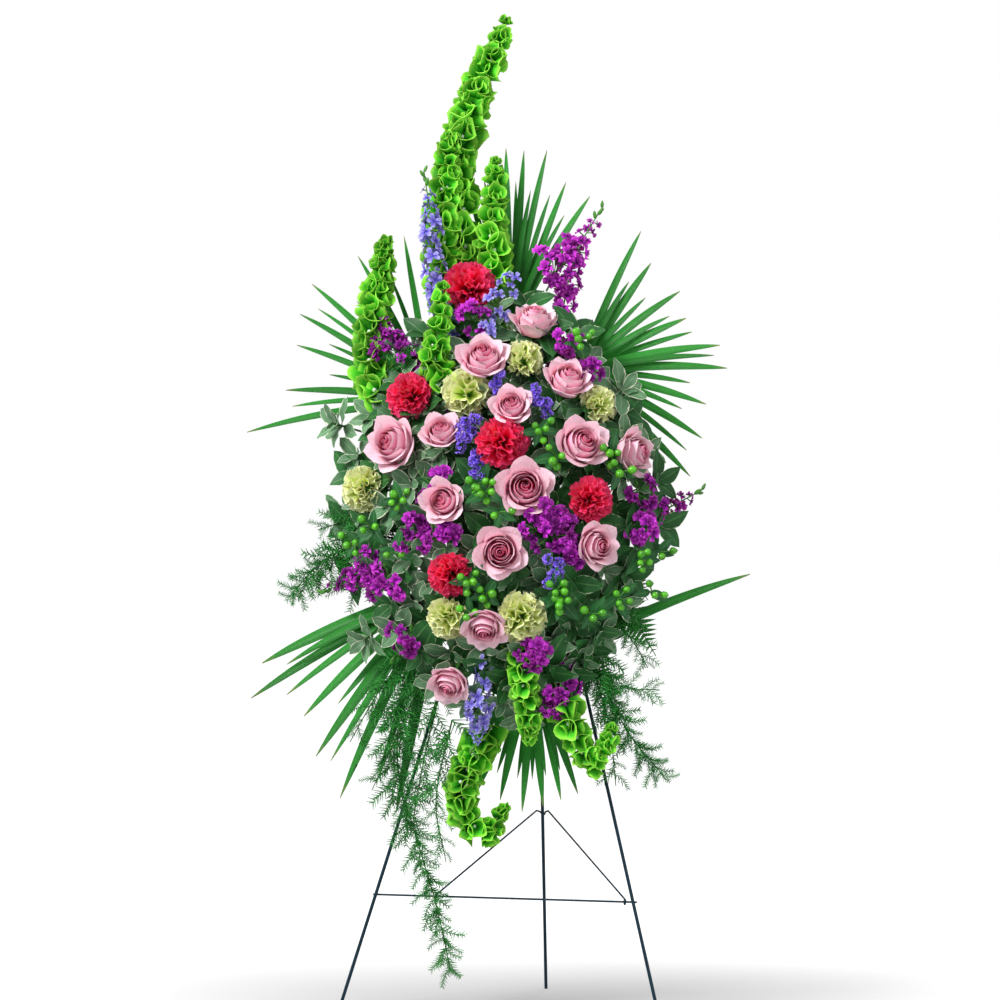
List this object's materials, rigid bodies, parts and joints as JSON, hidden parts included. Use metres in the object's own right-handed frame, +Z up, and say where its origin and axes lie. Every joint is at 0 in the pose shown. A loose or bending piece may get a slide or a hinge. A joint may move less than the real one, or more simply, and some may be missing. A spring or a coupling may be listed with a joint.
{
  "type": "standing funeral spray",
  "caption": "Standing spray of cut roses, carnations, bells of Ireland, stock and palm in a foam tray on a folding three-legged wire easel.",
  "frame": {"origin": "on the floor, under the middle of the whole spray's bounding box", "axes": "+Z up, the flowers face -Y, +X to the right as seen from in front"},
  "size_m": [0.7686, 0.4766, 1.4537],
  "materials": {
    "wire": "dark blue-green enamel on steel wire, satin",
    "tray": "moulded green plastic",
    "foam": "wet green phenolic foam, fine open cells",
    "tie": "green enamelled binding wire",
    "rose_petal": "soft velvety petal, paler at the outer rim",
    "red_petal": "frilled matte petal",
    "cream_petal": "frilled matte petal, greener at the heart",
    "bell_calyx": "papery green calyx with pale veins",
    "stock_petal": "soft matte petal",
    "larkspur_petal": "thin matte petal",
    "statice_floret": "dry papery floret",
    "berry": "smooth waxy berry",
    "palm_leaf": "ribbed satin leaf",
    "pittosporum_leaf": "satin leaf with a cream edge",
    "salal_leaf": "leathery leaf, slightly glossy",
    "leatherleaf_leaf": "firm fern leaf, satin",
    "fern_needle": "fine matte needle"
  },
  "bodies": {
    "spray": {"leg_left": "wire", "leg_right": "wire", "hinge_pin": "wire", "cross_wire": "wire", "hanger": "wire", "tray": "tray", "tie_wire": "tie", "foam": "foam", "rose_1": "rose_petal", "rose_2": "rose_petal", "rose_3": "rose_petal", "rose_4": "rose_petal", "rose_5": "rose_petal", "rose_6": "rose_petal", "rose_7": "rose_petal", "rose_8": "rose_petal", "rose_9": "rose_petal", "rose_10": "rose_petal", "rose_11": "rose_petal", "rose_12": "rose_petal", "rose_13": "rose_petal", "rose_14": "rose_petal", "carnation_red_1": "red_petal", "carnation_red_2": "red_petal", "carnation_red_3": "red_petal", "carnation_red_4": "red_petal", "carnation_red_5": "red_petal", "carnation_cream_upper": "cream_petal", "carnation_cream_right": "cream_petal", "carnation_cream_left": "cream_petal", "carnation_cream_low": "cream_petal", "bells_top": "bell_calyx", "bells_left": "bell_calyx", "bells_front": "bell_calyx", "bells_hanging": "bell_calyx", "bells_curled": "bell_calyx", "stock_upper_right": "stock_petal", "stock_upper_left": "stock_petal", "stock_left": "stock_petal", "stock_right": "stock_petal", "stock_low": "stock_petal", "larkspur_top": "larkspur_petal", "larkspur_low": "larkspur_petal", "statice": "statice_floret", "hypericum": "berry", "palm_top": "palm_leaf", "palm_right": "palm_leaf", "palm_left": "palm_leaf", "palm_low_left": "palm_leaf", "palm_bottom": "palm_leaf", "pittosporum_left": "pittosporum_leaf", "pittosporum_low": "pittosporum_leaf", "pittosporum_right": "pittosporum_leaf", "salal": "salal_leaf", "leatherleaf": "leatherleaf_leaf", "asparagus_fern_left": "fern_needle", "asparagus_fern_trailing": "fern_needle", "asparagus_fern_right": "fern_needle"},
    "rear_leg": {"rear_leg": "wire"},
    "brace": {"brace": "wire"}
  },
  "joints": [
    {"name": "rear_leg_fold", "type": "hinge", "parent": "spray", "child": "rear_leg", "pos_m": [0.04928, 0.03128, 0.853], "axis": [-1, 0, 0], "range_deg": [0, 15]},
    {"name": "brace_fold", "type": "hinge", "parent": "spray", "child": "brace", "pos_m": [0.03398, -0.08092, 0.16618], "axis": [1, 0, 0], "range_deg": [0, 36]}
  ],
  "couplings": [
    {"joint": "brace_fold", "follows": "rear_leg_fold", "ratio": 2.4}
  ]
}
